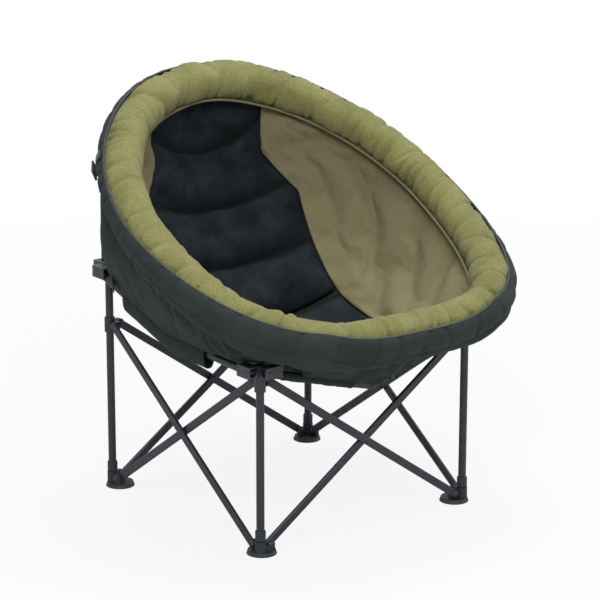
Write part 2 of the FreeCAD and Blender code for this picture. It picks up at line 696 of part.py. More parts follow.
made = []
for sx in (-1, 1):
    cx = sx * (LEG + RAIL_OUT)
    spots = (-SLEEVE_FRONT, 0, SLEEVE_REAR)
    outer = [frame_wire(cx, SLEEVE_X, y, -SLEEVE_DOWN, SLEEVE_UP) for y in spots]
    thin = SLEEVE_T - 0.4
    inner = [frame_wire(cx, SLEEVE_X - SLEEVE_T, y, thin - SLEEVE_DOWN, SLEEVE_UP - thin) for y in spots]
    tunnel = Part.makeLoft(outer, True, True).cut(Part.makeLoft(inner, True, True))
    made.append(tunnel)
save(Part.makeCompound(made), "rail_sleeves")

# Skirt: cloth that hangs from the rim band to the rails, round the front and both sides.
SKIRT_X = LEG + RAIL_OUT + SLEEVE_X + SOFT_GAP
SKIRT_Y = LEG + RAIL_OUT + TUBE_R + FRONT_SLEEVE_T + SOFT_GAP
CHANNEL_TOP = FRONT_PIN_Z + CHANNEL_RISE + CHANNEL_T + SKIRT_CLEAR
CORNER = LEG - CHANNEL_L - 8
SKIRT_END_Y = LEG - 62


def front_z(x):
    """Height of the front rail axis at x."""
    return FRONT_PIN_Z - FRONT_DROOP * (1 - abs(x) / LEG)


def skirt_foot(deg):
    """Lower edge of the skirt for a rim angle between the middle of the front and the rear leg."""
    if deg > -40:
        f = (deg + 40) / (SKIRT_REAR + 40)
        y = -CORNER + (SKIRT_END_Y + CORNER) * f
        z = side_z(y) + SKIRT_LAP
        if y < 70 - CORNER:
            z = max(z, CHANNEL_TOP)
        return V(SKIRT_X, y, z), V(1, 0, 0)
    if deg > -66:
        f = (deg + 66) / 26
        x = CORNER + (SKIRT_X - CORNER) * f
        y = -SKIRT_Y + (SKIRT_Y - CORNER) * f
        return V(x, y, CHANNEL_TOP), V(f, f - 1, 0).normalize()
    f = (deg + 90) / 24
    x = CORNER * f
    z = front_z(x) + SKIRT_LAP
    if f > 0.85:
        z = CHANNEL_TOP
    return V(x, -SKIRT_Y, z), V(0, -1, 0)


wires = []
half = [-90, -84, -78, -72, -66, -57, -48, -40, -33, -26, -16, -6, 4, 14, 24, 33, SKIRT_REAR]
for sx, deg in [(-1, d) for d in half[:0:-1]] + [(1, d) for d in half]:
    t = math.radians(deg)
    c, wall, out = whole_rim(t if sx > 0 else math.pi - t)
    g = math.radians(SKIRT_TOP)
    away = wall * math.cos(g) + out * math.sin(g)
    top = c + away * (ROLL_R + BAND_T + 2 * SOFT_GAP)
    low, side = skirt_foot(deg)
    low = V(sx * low.x, low.y, low.z)
    side = V(sx * side.x, side.y, side.z)
    fall = (low - top).normalize()
    thick = away + side
    thick = (thick - fall * thick.dot(fall)).normalize() * SKIRT_T
    pts = [top, top + thick, low + thick, low]
    wires.append(Part.makePolygon(pts + pts[:1]))
save(Part.makeLoft(wires, True, True), "outer_skirt")
print("built")
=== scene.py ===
# %% [markdown]
# # A round padded folding chair
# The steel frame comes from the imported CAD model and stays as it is. Everything sewn or stuffed
# is made here: the outer shell, the quilted pads, the side panels, the thick fleece roll round
# the rim with its cords and outer band, the skirt, the cloth tunnels on the rails and the straps.

# %% Load the frame
import json
import math
import random

import bmesh
import bpy
import numpy as np
from mathutils import Matrix, Vector, noise


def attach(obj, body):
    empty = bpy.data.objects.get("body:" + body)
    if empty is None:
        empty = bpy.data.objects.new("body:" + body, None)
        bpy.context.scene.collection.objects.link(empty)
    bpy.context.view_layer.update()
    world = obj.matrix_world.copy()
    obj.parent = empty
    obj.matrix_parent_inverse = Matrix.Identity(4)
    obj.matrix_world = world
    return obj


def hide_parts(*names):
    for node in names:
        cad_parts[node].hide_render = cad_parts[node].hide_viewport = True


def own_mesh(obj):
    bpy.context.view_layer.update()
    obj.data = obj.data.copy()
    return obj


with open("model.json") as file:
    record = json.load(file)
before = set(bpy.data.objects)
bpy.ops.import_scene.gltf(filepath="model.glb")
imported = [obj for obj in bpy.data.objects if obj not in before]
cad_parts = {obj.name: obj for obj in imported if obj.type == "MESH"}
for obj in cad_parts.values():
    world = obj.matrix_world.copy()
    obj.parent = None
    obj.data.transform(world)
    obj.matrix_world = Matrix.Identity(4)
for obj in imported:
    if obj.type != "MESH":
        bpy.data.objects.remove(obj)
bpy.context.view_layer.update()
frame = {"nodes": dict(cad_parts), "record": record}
ROOT = "post_rear_right"

# %% [markdown]
# ## The bowl's shape
# The bowl hangs from a tilted oval rim. Across the chair each section of it is an arc that dips
# from the rim on one side to the rim on the other. Writing the rim and the arcs as formulas, with
# the same sizes as the CAD model, lets each cloth piece be laid on the bowl by two numbers: how far
# along the bowl it is, and how far round the section.

# %% Rim line and bowl sections
RIM_A, RIM_POW_FRONT = 0.406, 0.57
RIM_Y, RIM_YS = 0.0, 0.388
RIM_Z, RIM_ZS, RIM_ZB = 0.672, 0.217, 0.036
DEPTH, DEPTH_POW_FRONT, DEPTH_POW_BACK = 0.336, 1.05, 0.78
LEAN, LEAN_FRONT, LEAN_BACK = 27.2, 8.0, 15.0
ROLL_R = 0.049


def rim(t):
    """Point of the rim line at angle t: 0 at the sitter's left, 90 degrees at the back."""
    s, c = math.sin(t), math.cos(t)
    if s < 0:
        c = math.copysign(abs(c) ** RIM_POW_FRONT, c)
    return Vector((RIM_A * c, RIM_Y + RIM_YS * s, RIM_Z + RIM_ZS * s + RIM_ZB * s * s))


def section(t):
    """Middle of the rim chord, depth direction, arc radius and arc centre at rim angle t."""
    m = rim(t)
    h = DEPTH * max(math.cos(t), 1e-4) ** (DEPTH_POW_FRONT if t < 0 else DEPTH_POW_BACK)
    lean = math.radians(LEAN - (LEAN_FRONT if t < 0 else LEAN_BACK) * math.sin(t))
    rho = (m.x * m.x + h * h) / (2 * h)
    return Vector((0, m.y, m.z)), Vector((0, math.sin(lean), -math.cos(lean))), rho, h - rho


def on(t, ang, inward):
    """Point of the section at angle ang from its bottom, inward of the shell's outer face."""
    m, d, rho, q0 = section(t)
    r = rho - inward
    return m + Vector((r * math.sin(ang), 0, 0)) + d * (q0 + r * math.cos(ang))


RIM_POINTS = np.array([rim(math.radians(i)) for i in range(-90, 91)])


def rim_angle(t, inward, keep):
    """Largest section angle that stays keep clear of the rim line."""
    m, d, rho, q0 = section(t)
    lo, hi = 0.0, math.asin(min(1.0, rim(t).x / rho))
    if q0 > 0:
        hi = math.pi - hi
    for k in range(24):
        mid = (lo + hi) / 2
        p = on(t, mid, inward)
        gap = np.linalg.norm(RIM_POINTS - np.array((abs(p.x), p.y, p.z)), axis=1).min()
        lo, hi = (mid, hi) if gap > keep else (lo, mid)
    return lo


def rim_frame(t):
    """Rim point, direction to the bowl wall and direction out of the bowl, at any angle round it."""
    side = 1 if math.cos(t) >= 0 else -1
    a = t if side > 0 else math.pi - t
    a = math.atan2(math.sin(a), math.cos(a))
    tan = (rim(a + 0.001) - rim(a - 0.001)).normalized()
    wall = on(max(-1.2, min(1.2, a)), 0.7, 0) - rim(a)
    wall.x *= math.cos(a)
    wall = (wall - tan * wall.dot(tan)).normalized()
    out = wall.cross(tan)
    return rim(t), Vector((side * wall.x, wall.y, wall.z)), Vector((side * out.x, out.y, out.z))


def around(t, deg, r):
    """Point of the roll's surface at radius r, deg degrees from the bowl wall towards the outside."""
    c, wall, out = rim_frame(t)
    g = math.radians(deg)
    return c + wall * (r * math.cos(g)) + out * (r * math.sin(g))


RIM_T = np.linspace(-math.pi / 2, 1.5 * math.pi, 3601)
RIM_STEPS = [(rim(b) - rim(a)).length for a, b in zip(RIM_T, RIM_T[1:])]
RIM_S = np.concatenate(([0.0], np.cumsum(RIM_STEPS)))
rim_length = float(RIM_S[-1])


def rim_t(u):
    """Rim angle at the share u of the way round, from the middle of the front, evenly along the cloth."""
    return float(np.interp((u % 1.0) * rim_length, RIM_S, RIM_T))


def rim_u(t):
    """Share of the way round at rim angle t."""
    t = (t + math.pi / 2) % (2 * math.pi) - math.pi / 2
    return float(np.interp(t, RIM_T, RIM_S)) / rim_length


print("rim length", round(rim_length, 3), "m")

# %% [markdown]
# ## Tools for cloth
# A sewn piece starts as a flat grid, as cut cloth does, and its corners are moved onto the bowl.
# Its UV map is the flat cut in metres, so a weave keeps its true size. Padded pieces then go
# through a short cloth simulation: seams are held, air pressure fills the piece, and spare cloth
# between the seams buckles into the small folds that real stuffing makes.

# %% Grid and pillow helpers
def cloth_grid(columns, rows, place, cut):
    """Grid with its points at place(u, v), u and v from 0 to 1, and a UV map in metres."""
    bm = bmesh.new()
    bm.loops.layers.uv.new("cut")
    bmesh.ops.create_grid(bm, x_segments=columns, y_segments=rows, size=0.5, calc_uvs=True)
    uv = bm.loops.layers.uv["cut"]
    for f in bm.faces:
        f.smooth = True
        for loop in f.loops:
            p = loop.vert.co
            loop[uv].uv = ((p.x + 0.5) * cut[0], (p.y + 0.5) * cut[1])
    layer = bm.verts.layers.float_vector.new("flat")
    for v in bm.verts:
        u, w = v.co.x + 0.5, v.co.y + 0.5
        v[layer] = (u, w, 0)
        v.co = place(u, w)
    return bm


def pillow(columns, rows, face, back, cut):
    """Closed piece: a face grid and a back grid, joined round the edge. Back points get flat z = 1."""
    bm = cloth_grid(columns, rows, face, cut)
    layer = bm.verts.layers.float_vector["flat"]
    copy = bmesh.ops.duplicate(bm, geom=bm.verts[:] + bm.edges[:] + bm.faces[:])["geom"]
    for v in copy:
        if isinstance(v, bmesh.types.BMVert):
            u, w, _ = v[layer]
            v[layer] = (u, w, 1)
            v.co = back(u, w)
    bmesh.ops.reverse_faces(bm, faces=[f for f in copy if isinstance(f, bmesh.types.BMFace)])
    rims = [e for e in bm.edges if len(e.link_faces) == 1]
    joined = bmesh.ops.bridge_loops(bm, edges=rims)["faces"]
    for f in joined:
        f.smooth = True
    return bm


def piece(name, bm):
    """Object at the origin from a bmesh whose normals are turned outward."""
    bmesh.ops.recalc_face_normals(bm, faces=bm.faces[:])
    mesh = bpy.data.meshes.new(name)
    bm.to_mesh(mesh)
    bm.free()
    obj = bpy.data.objects.new(name, mesh)
    bpy.context.scene.collection.objects.link(obj)
    return obj


def coords(obj):
    """Places of all points, one row each."""
    co = np.zeros(len(obj.data.vertices) * 3)
    obj.data.vertices.foreach_get("co", co)
    return co.reshape(-1, 3)


def flat_of(obj):
    """The flat-cut place of each point: u, v, and 1 on a back face."""
    f = np.zeros(len(obj.data.vertices) * 3)
    obj.data.attributes["flat"].data.foreach_get("vector", f)
    return f.reshape(-1, 3)


def from_edge(flat):
    """Distance of each point from the nearest edge of its flat cut, as a share of the cut."""
    return np.minimum(flat[:, :2], 1 - flat[:, :2]).min(axis=1)


# %% Cloth simulation helper
STRETCH = 15


def stuff(obj, held, pressure, spare, frames, cap, bend=0.4):
    """Fills obj with air. held is 1 where sewn down, spare is extra cloth, cap how far a point may move."""
    scene = bpy.context.scene
    start = coords(obj)
    group = obj.vertex_groups.new(name="sewn")
    for i, w in enumerate(held):
        if w > 0:
            group.add([i], float(w), "REPLACE")
    mod = obj.modifiers.new("cloth", "CLOTH")
    s = mod.settings
    s.vertex_group_mass = "sewn"
    s.use_pressure = True
    s.uniform_pressure_force = pressure
    s.shrink_min = -spare
    s.effector_weights.gravity = 0
    s.quality = 6
    s.mass = 0.25
    s.air_damping = 2.0
    s.tension_stiffness = STRETCH
    s.compression_stiffness = STRETCH
    s.shear_stiffness = STRETCH / 3
    s.bending_stiffness = bend
    mod.collision_settings.use_collision = False
    mod.point_cache.frame_start = 1
    mod.point_cache.frame_end = frames
    for f in range(1, frames + 1):
        scene.frame_set(f)
    filled = obj.evaluated_get(bpy.context.evaluated_depsgraph_get())
    move = coords(filled) - start
    far = np.linalg.norm(move, axis=1, keepdims=True)
    move *= np.minimum(1, cap / np.maximum(far, 1e-9))
    obj.modifiers.remove(mod)
    obj.vertex_groups.clear()
    obj.data.vertices.foreach_set("co", (start + move).ravel())
    obj.data.update()
    scene.frame_set(1)
    most = float(np.linalg.norm(move, axis=1).max())
    print(obj.name, "points", len(start), "moved up to", round(most * 1000, 1), "mm")


def finer(obj):
    """One round of subdivision."""
    mod = obj.modifiers.new("finer", "SUBSURF")
    mod.levels = mod.render_levels = 1


def thicken(obj, thickness, offset):
    """Gives a sheet its wall: offset -1 inward, 0 both ways, 1 outward."""
    mod = obj.modifiers.new("wall", "SOLIDIFY")
    mod.thickness = thickness
    mod.offset = offset


def area_of(obj):
    """Area of the mesh before its modifiers, in square metres."""
    return sum(p.area for p in obj.data.polygons)


def dress(obj, mat, slot, *nodes):
    """Gives the piece its cloth and lets it ride with the bowl."""
    obj.data.materials.append(mat)
    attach(obj, ROOT)
    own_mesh(obj)
    if nodes:
        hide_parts(*nodes)


# %% [markdown]
# ## Finishes
# Each finish is built from nodes: a weave or nap at its true size, a slow change of shade over
# the cloth, and a bump that catches the light. Patterns read the flat cut of each piece, which is
# its UV map, or the object's own coordinates where there is no cut.

# %% Node helpers
def finish(name, roughness, sheen=0.0, metallic=0.0, gloss=0.5):
    """New material and its surface node."""
    mat = bpy.data.materials.new(name)
    mat.use_nodes = True
    bsdf = mat.node_tree.nodes["Principled BSDF"]
    bsdf.inputs["Roughness"].default_value = roughness
    bsdf.inputs["Metallic"].default_value = metallic
    bsdf.inputs["Sheen Weight"].default_value = sheen
    bsdf.inputs["Specular IOR Level"].default_value = gloss
    bsdf.inputs["Sheen Roughness"].default_value = 0.6
    return mat, bsdf


def add(mat, kind, links=None, **values):
    """New node; values set its inputs or properties, links join its inputs to other sockets."""
    n = mat.node_tree.nodes.new(kind)
    for key, value in values.items():
        if key in n.inputs:
            n.inputs[key].default_value = value
        else:
            setattr(n, key, value)
    for key, socket in (links or {}).items():
        mat.node_tree.links.new(socket, n.inputs[key])
    return n


def join(mat, a, b):
    """Links an output to an input."""
    mat.node_tree.links.new(a, b)


def ramp(mat, value, stops):
    """Colour ramp with stops of (place, colour)."""
    n = add(mat, "ShaderNodeValToRGB", {"Fac": value})
    els = n.color_ramp.elements
    while len(els) < len(stops):
        els.new(0.5)
    for el, (at, colour) in zip(els, stops):
        el.position = at
        el.color = (*colour, 1)
    return n.outputs["Color"]


def mapped(mat, source, turn=0.0):
    """Texture coordinates, turned by some degrees."""
    tc = add(mat, "ShaderNodeTexCoord")
    m = add(mat, "ShaderNodeMapping", {"Vector": tc.outputs[source]})
    m.inputs["Rotation"].default_value = (0, 0, math.radians(turn))
    return m.outputs["Vector"]


def bump(mat, bsdf, heights):
    """Stacks bump nodes; heights are (socket, strength, distance)."""
    last = None
    for socket, strength, distance in heights:
        n = add(mat, "ShaderNodeBump", {"Height": socket}, Strength=strength, Distance=distance)
        if last is not None:
            join(mat, last.outputs["Normal"], n.inputs["Normal"])
        last = n
    join(mat, last.outputs["Normal"], bsdf.inputs["Normal"])


# %% Fleece of the rim roll
fleece, b = finish("olive_fleece", 0.95, sheen=0.12, gloss=0.1)
place = mapped(fleece, "Object")
tuft = add(fleece, "ShaderNodeTexNoise", {"Vector": place}, Scale=420, Detail=4, Roughness=0.65)
curl = add(fleece, "ShaderNodeTexVoronoi", {"Vector": place}, Scale=300)
shade = add(fleece, "ShaderNodeTexNoise", {"Vector": place}, Scale=14, Detail=2)
slow = add(fleece, "ShaderNodeMath", {0: shade.outputs["Fac"]}, operation="MULTIPLY")
slow.inputs[1].default_value = 0.3
mix = add(fleece, "ShaderNodeMath", {0: tuft.outputs["Fac"], 1: slow.outputs[0]}, operation="ADD")
OLIVES = ((0.45, (0.150, 0.148, 0.050)), (0.66, (0.265, 0.262, 0.096)), (0.86, (0.38, 0.375, 0.155)))
col = ramp(fleece, mix.outputs[0], OLIVES)
join(fleece, col, b.inputs["Base Color"])
bump(fleece, b, ((tuft.outputs["Fac"], 0.55, 0.003), (curl.outputs["Distance"], 0.35, 0.0015)))

# %% Brushed khaki cloth of the side panels
khaki, b = finish("khaki_cloth", 0.85, sheen=0.05, gloss=0.15)
cut = mapped(khaki, "UV")
weave = add(khaki, "ShaderNodeTexVoronoi", {"Vector": cut}, Scale=900, Randomness=0.15)
mottle = add(khaki, "ShaderNodeTexNoise", {"Vector": cut}, Scale=45, Detail=5, Roughness=0.6)
fine = add(khaki, "ShaderNodeTexNoise", {"Vector": cut}, Scale=700, Detail=2)
mix = add(khaki, "ShaderNodeMath", {0: mottle.outputs["Fac"], 1: fine.outputs["Fac"]}, operation="ADD")
col = ramp(khaki, mix.outputs[0], ((0.7, (0.205, 0.184, 0.096)), (1.3, (0.262, 0.236, 0.130))))
join(khaki, col, b.inputs["Base Color"])
bump(khaki, b, ((weave.outputs["Distance"], 0.25, 0.0004), (mottle.outputs["Fac"], 0.10, 0.002)))

# %% Open mesh of the seat and back pads
mesh_cloth, b = finish("black_mesh", 0.8, gloss=0.15)
cut = mapped(mesh_cloth, "UV", turn=45)
hole = add(mesh_cloth, "ShaderNodeTexVoronoi", {"Vector": cut}, Scale=200, Randomness=0.0)
slow = add(mesh_cloth, "ShaderNodeTexNoise", {"Vector": cut}, Scale=14, Detail=3)
holes = {0: hole.outputs["Distance"], 1: slow.outputs["Fac"]}
mix = add(mesh_cloth, "ShaderNodeMath", holes, operation="MULTIPLY_ADD")
mix.inputs[2].default_value = 0.05
BLACKS = ((0.08, (0.002, 0.003, 0.004)), (0.24, (0.010, 0.014, 0.018)), (0.42, (0.036, 0.046, 0.055)))
col = ramp(mesh_cloth, mix.outputs[0], BLACKS)
# Painted shade: the sewn attribute mixes the cloth's colour towards near black along each seam, standing in
# for the shade that falls in the grooves between the channels.
sewn = add(mesh_cloth, "ShaderNodeAttribute", attribute_name="sewn")
painted_seam_shade = add(mesh_cloth, "ShaderNodeMixRGB", {"Fac": sewn.outputs["Fac"], "Color1": col}, blend_type="MIX")
painted_seam_shade.inputs["Color2"].default_value = (0.0025, 0.003, 0.004, 1)
join(mesh_cloth, painted_seam_shade.outputs["Color"], b.inputs["Base Color"])
bump(mesh_cloth, b, ((hole.outputs["Distance"], 0.6, 0.0012),))

# %% Coated twill of the shell, band and tunnels
twill, b = finish("dark_twill", 0.75, gloss=0.2)
cut = mapped(twill, "UV", turn=38)
rib = add(twill, "ShaderNodeTexWave", {"Vector": cut}, Scale=170, Distortion=0.6, Detail=1)
yarn = add(twill, "ShaderNodeTexNoise", {"Vector": cut}, Scale=600, Detail=2)
slow = add(twill, "ShaderNodeTexNoise", {"Vector": cut}, Scale=9, Detail=4)
mix = add(twill, "ShaderNodeMath", {0: yarn.outputs["Fac"], 1: slow.outputs["Fac"]}, operation="ADD")
col = ramp(twill, mix.outputs[0], ((0.7, (0.011, 0.017, 0.015)), (1.3, (0.026, 0.036, 0.032))))
join(twill, col, b.inputs["Base Color"])
bump(twill, b, ((rib.outputs["Fac"], 0.3, 0.0005), (slow.outputs["Fac"], 0.2, 0.003)))

# %% Webbing
webbing, b = finish("black_webbing", 0.6, sheen=0.1)
cut = mapped(webbing, "Object")
rib = add(webbing, "ShaderNodeTexWave", {"Vector": cut}, Scale=260, Distortion=0.3)
col = ramp(webbing, rib.outputs["Fac"], ((0.2, (0.010, 0.012, 0.013)), (0.8, (0.032, 0.036, 0.038))))
join(webbing, col, b.inputs["Base Color"])
bump(webbing, b, ((rib.outputs["Fac"], 0.5, 0.0006),))

# %% Powder coat, steel and moulded plastic of the frame
def hard_finish(name, low, high, roughness, metallic, grain, scale, strength):
    """Coat that varies between two colours; grain and scale are the sizes of its wear and its peel."""
    mat, bsdf = finish(name, roughness, metallic=metallic)
    at = mapped(mat, "Object")
    peel = add(mat, "ShaderNodeTexNoise", {"Vector": at}, Scale=scale, Detail=2)
    wear = add(mat, "ShaderNodeTexNoise", {"Vector": at}, Scale=grain, Detail=6, Roughness=0.7)
    join(mat, ramp(mat, wear.outputs["Fac"], ((0.35, low), (0.7, high))), bsdf.inputs["Base Color"])
    rough = add(mat, "ShaderNodeMapRange", {"Value": wear.outputs["Fac"]})
    rough.inputs["To Min"].default_value = roughness - 0.07
    rough.inputs["To Max"].default_value = roughness + 0.10
    join(mat, rough.outputs["Result"], bsdf.inputs["Roughness"])
    bump(mat, bsdf, ((peel.outputs["Fac"], strength, 0.0006),))
    return mat


tones = (0.014, 0.018, 0.027), (0.024, 0.029, 0.041)
paint = hard_finish("blue_black_powder_coat", *tones, 0.40, 0.0, 40, 700, 0.18)
tones = (0.030, 0.034, 0.042), (0.055, 0.060, 0.070)
bracket = hard_finish("bracket_coat", *tones, 0.42, 0.0, 60, 500, 0.10)
tones = (0.020, 0.022, 0.028), (0.05, 0.054, 0.06)
rivet_coat = hard_finish("rivet_black", *tones, 0.35, 0.3, 80, 600, 0.10)
tones = (0.016, 0.020, 0.026), (0.026, 0.031, 0.038)
plastic = hard_finish("foot_plastic", *tones, 0.55, 0.0, 50, 450, 0.35)
FINISHES = {"frame_paint": paint, "bracket": bracket, "rivet": rivet_coat, "plastic": plastic}
slot_of = {p["node"]: p["material_slot"] for p in frame["record"]["subparts"]}
done = 0
for node, obj in frame["nodes"].items():
    if slot_of[node] in FINISHES:
        obj.data.materials.clear()
        obj.data.materials.append(FINISHES[slot_of[node]])
        done += 1
print("frame nodes painted:", done)

# %% [markdown]
# ## Outer shell
# The shell is the cloth that carries the sitter. It is one stretched sheet from rim to rim, seen
# from behind, from the side and from below, so it is a grid laid on the bowl's outer face, with a
# little spare cloth that the simulation lets go slack, and a wall of real thickness.

# %% Shell
SHELL_EDGE = ROLL_R - 0.006
SHELL_INSET = 0.0012
SHELL_CUT = (1.15, 0.98)
shell_ends = [math.radians(a) for a in (-80.5, 85.2)]
SHELL_ANGLES = {}


def shell_place(u, v):
    t = shell_ends[0] + (shell_ends[1] - shell_ends[0]) * v
    key = round(v, 5)
    if key not in SHELL_ANGLES:
        SHELL_ANGLES[key] = rim_angle(t, 0, SHELL_EDGE)
    return on(t, SHELL_ANGLES[key] * (2 * u - 1), SHELL_INSET)


shell = piece("outer_shell", cloth_grid(90, 84, shell_place, SHELL_CUT))
stuff(shell, (from_edge(flat_of(shell)) < 0.02) * 1.0, -0.6, spare=0.02, frames=14, cap=0.006)
thicken(shell, 0.0025, -1)
finer(shell)
dress(shell, twill, "shell_cloth", "bowl_shell")

# %% [markdown]
# ## Quilted pads
# The back and seat pads are stuffed and sewn across in channels. The face starts as low swells
# between the seams. In the simulation the seams and the back are held and the air fills the
# channels, so each one is round in the middle and puckers where it is sewn.

# %% Back and seat pads
INSIDE = 0.0049
CLEAR = ROLL_R + 0.0006
PAD_EDGE, PAD_SEAM, PAD_SWELL = 0.005, 0.001, 0.031
SEAM_LIFT = math.radians(7)
CHANNEL_ROWS = 18
# Half width of the pads at some rim angles, in degrees and metres.
PAD_WIDTHS = np.array(((-66, 0.238), (0, 0.212), (38, 0.222), (56, 0.158), (77, 0.180)))
PAD_ANGLES = {}


def half_width(t):
    return float(np.interp(math.degrees(t), PAD_WIDTHS[:, 0], PAD_WIDTHS[:, 1]))


def pad_angle(t):
    """Section angle of the pads' side edge, kept clear of the roll."""
    key = round(t, 5)
    if key not in PAD_ANGLES:
        rho = section(t)[2]
        stop = rim_angle(t, INSIDE + 0.011, CLEAR - 0.012)
        PAD_ANGLES[key] = min(math.asin(min(0.98, half_width(t) / (rho - INSIDE))), stop)
    return PAD_ANGLES[key]


def quilt(name, deg0, deg1, channels, cut, lifted):
    """Pad between two rim angles. The middle of its seams is lifted by an angle, so they look straight."""
    t0, t1 = math.radians(deg0), math.radians(deg1)

    def at(u, v):
        t = t0 + (t1 - t0) * v
        lift = lifted * math.sqrt(max(0.0, v * (1 - v))) * (1 - (2 * u - 1) ** 2)
        return t + lift, pad_angle(t) * (2 * u - 1)

    def face(u, v):
        t, ang = at(u, v)
        swell = 1 - abs(2 * ((channels * v) % 1.0) - 1) ** 4.0
        across = max(0.0, 1 - (2 * u - 1) ** 4) ** 0.5
        return on(t, ang, INSIDE + PAD_EDGE + across * (PAD_SEAM + PAD_SWELL * swell))

    def back(u, v):
        t, ang = at(u, v)
        return on(t, ang, INSIDE)

    obj = piece(name, pillow(54, CHANNEL_ROWS * channels, face, back, cut))
    f = flat_of(obj)
    line = np.abs(f[:, 1] * channels - np.round(f[:, 1] * channels)) * CHANNEL_ROWS
    rim_edge = np.minimum(f[:, 0], 1 - f[:, 0])
    held = ((f[:, 2] > 0.5) | (line < 0.3) | (rim_edge < 0.002)) * 1.0
    stuff(obj, held, 2.0, spare=0.018, frames=12, cap=0.006, bend=1.5)
    # The sewn attribute is the mask of the painted seam shade: 1 on each seam line, fading within about a
    # row to each side; the black_mesh finish darkens the cloth with it.
    sewn = obj.data.attributes.new("sewn", "FLOAT", "POINT")
    sewn.data.foreach_set("value", np.exp(-((line / 1.2) ** 2)).astype(np.float32))
    finer(obj)
    dress(obj, mesh_cloth, "mesh_cloth", name.replace("quilted_", "") + "_pad")


quilt("quilted_back", 2.5, 83.4, 4, (0.40, 0.70), SEAM_LIFT)
quilt("quilted_seat", -66, 0.5, 3, (0.44, 0.42), 0.0)

# %% [markdown]
# ## Side panels
# A soft khaki panel closes each side between the pads and the roll. It is lightly stuffed, so its
# edges are sewn down and its face has slack that falls into a few long soft creases.

# %% Side panels
# Creases start near the seat corner and run up and out: start and end on the flat cut, and depth.
CREASES = (
    (0.05, 0.22, 0.75, 0.62, 0.011),
    (0.10, 0.14, 0.90, 0.40, 0.012),
    (0.30, 0.10, 0.95, 0.24, 0.010),
    (0.08, 0.40, 0.55, 0.85, 0.008),
    (0.55, 0.45, 0.95, 0.75, 0.008),
)
CREASE_WIDE = 0.10
PANEL_EDGE, PANEL_SWELL, PANEL_END = 0.007, 0.013, 0.12
LONG = 3  # the panel is about three times as long as it is wide


def side_panel(sign, word):
    """Panel on one side, from the pads' edge to the roll."""
    t0, t1 = math.radians(-47), math.radians(70)
    edges = {}

    def at(u, v):
        t = t0 + (t1 - t0) * v
        key = round(v, 5)
        if key not in edges:
            a0 = pad_angle(t) + 0.003 / section(t)[2]
            edges[key] = (a0, max(a0 + 0.004, rim_angle(t, INSIDE, CLEAR - 0.004)))
        a0, a1 = edges[key]
        return t, sign * (a0 + (a1 - a0) * u)

    def face(u, v):
        t, ang = at(u, v)
        end = min(1.0, v / PANEL_END, (1 - v) / PANEL_END)
        across = max(0.0, 1 - (2 * u - 1) ** 2) ** 0.5
        thick = PANEL_EDGE + PANEL_SWELL * across * end
        for u0, v0, u1, v1, deep in CREASES:
            du, dv = u1 - u0, (v1 - v0) * LONG
            f = ((u - u0) * du + (v - v0) * LONG * dv) / (du * du + dv * dv)
            f = min(1.0, max(0.0, f))
            off = math.hypot(u - u0 - f * du, (v - v0) * LONG - f * dv)
            fade = math.sin(math.pi * (0.15 + 0.7 * f)) * end
            thick -= deep * math.exp(-((off / CREASE_WIDE) ** 2)) * fade
        return on(t, ang, INSIDE + thick)

    def back(u, v):
        t, ang = at(u, v)
        return on(t, ang, INSIDE)

    obj = piece("side_cushion_" + word, pillow(48, 84, face, back, (0.24, 0.72)))
    f = flat_of(obj)
    held = ((f[:, 2] > 0.5) | (from_edge(f) < 0.012)) * 1.0
    stuff(obj, held, 0.9, spare=0.03, frames=16, cap=0.012, bend=4.0)
    finer(obj)
    dress(obj, khaki, "khaki_cloth", "side_panel_" + word)


side_panel(-1, "right")
side_panel(1, "left")

# %% [markdown]
# ## Fleece roll
# The roll is a long stuffed tube, sewn to the bowl along its inner edge and to the band along its
# outer edge. The fleece is cut longer than the rim and eased onto it, so it gathers: short grooves
# run in from one seam or the other, a few cross the whole roll, and the two front corners are
# pinched. The grooves are shaped first, each with its own place, depth and slant. Then the
# simulation holds the seams and fills the roll, which rounds the swells between the grooves.

# %% Gathers along the roll
ROLL_START = 0.0462  # radius before the filling
INNER_SEAM = -30.0  # degrees round the roll from the bowl wall
BAND_EDGE, BAND_CLIMB = 136.0, 34.0


def band_top(t):
    """Angle round the roll where the band ends and the fleece begins: higher towards the front."""
    f = min(1.0, max(0.0, (0.4 - math.sin(t)) / 1.2))
    return BAND_EDGE + BAND_CLIMB * f * f * (3 - 2 * f)


random.seed(11)
gathers = []
at = 0.0
while at < rim_length - 0.02:
    kind = random.choice(("in", "in", "in", "in", "out", "out", "out", "all"))
    wide = random.uniform(0.0035, 0.0075) if kind != "all" else random.uniform(0.006, 0.009)
    deep = random.uniform(0.0045, 0.0120) if kind != "all" else random.uniform(0.004, 0.008)
    gathers.append((at, wide, deep, random.uniform(-0.05, 0.05), kind))
    at += random.choice((0.012, 0.016, 0.022, 0.034, 0.055)) * random.uniform(0.8, 1.2)
CORNERS = [rim_u(math.radians(a)) * rim_length for a in (-54, 234)]
for corner in CORNERS:
    gathers.append((corner, 0.006, 0.016, 0.0, "all"))
print("gathers", len(gathers))


DEEPEST = 0.020


def groove(along, x):
    """Depth of the gathers along the roll; x runs from 0 at the outer seam to 1 at the inner."""
    depth = np.zeros(len(along))
    for at, wide, deep, slant, kind in gathers:
        off = along - at - slant * (x - 0.5)
        off = (off + rim_length / 2) % rim_length - rim_length / 2
        reach = {"in": x ** 2.2, "out": (1 - x) ** 2.0, "all": 0.5 + 0.5 * (2 * x - 1) ** 2}[kind]
        spread = wide * (1 + 0.7 * (1 - reach))
        depth += deep * reach * np.exp(-np.abs(off / spread) ** 1.5)
    return np.minimum(depth, DEEPEST)


# %% Roll before its shaping
FLEECE_EASE = 1.12  # the fleece is cut this much longer than the rim


def roll_place(u, v):
    return around(rim_t(u), 360 * v, ROLL_START)


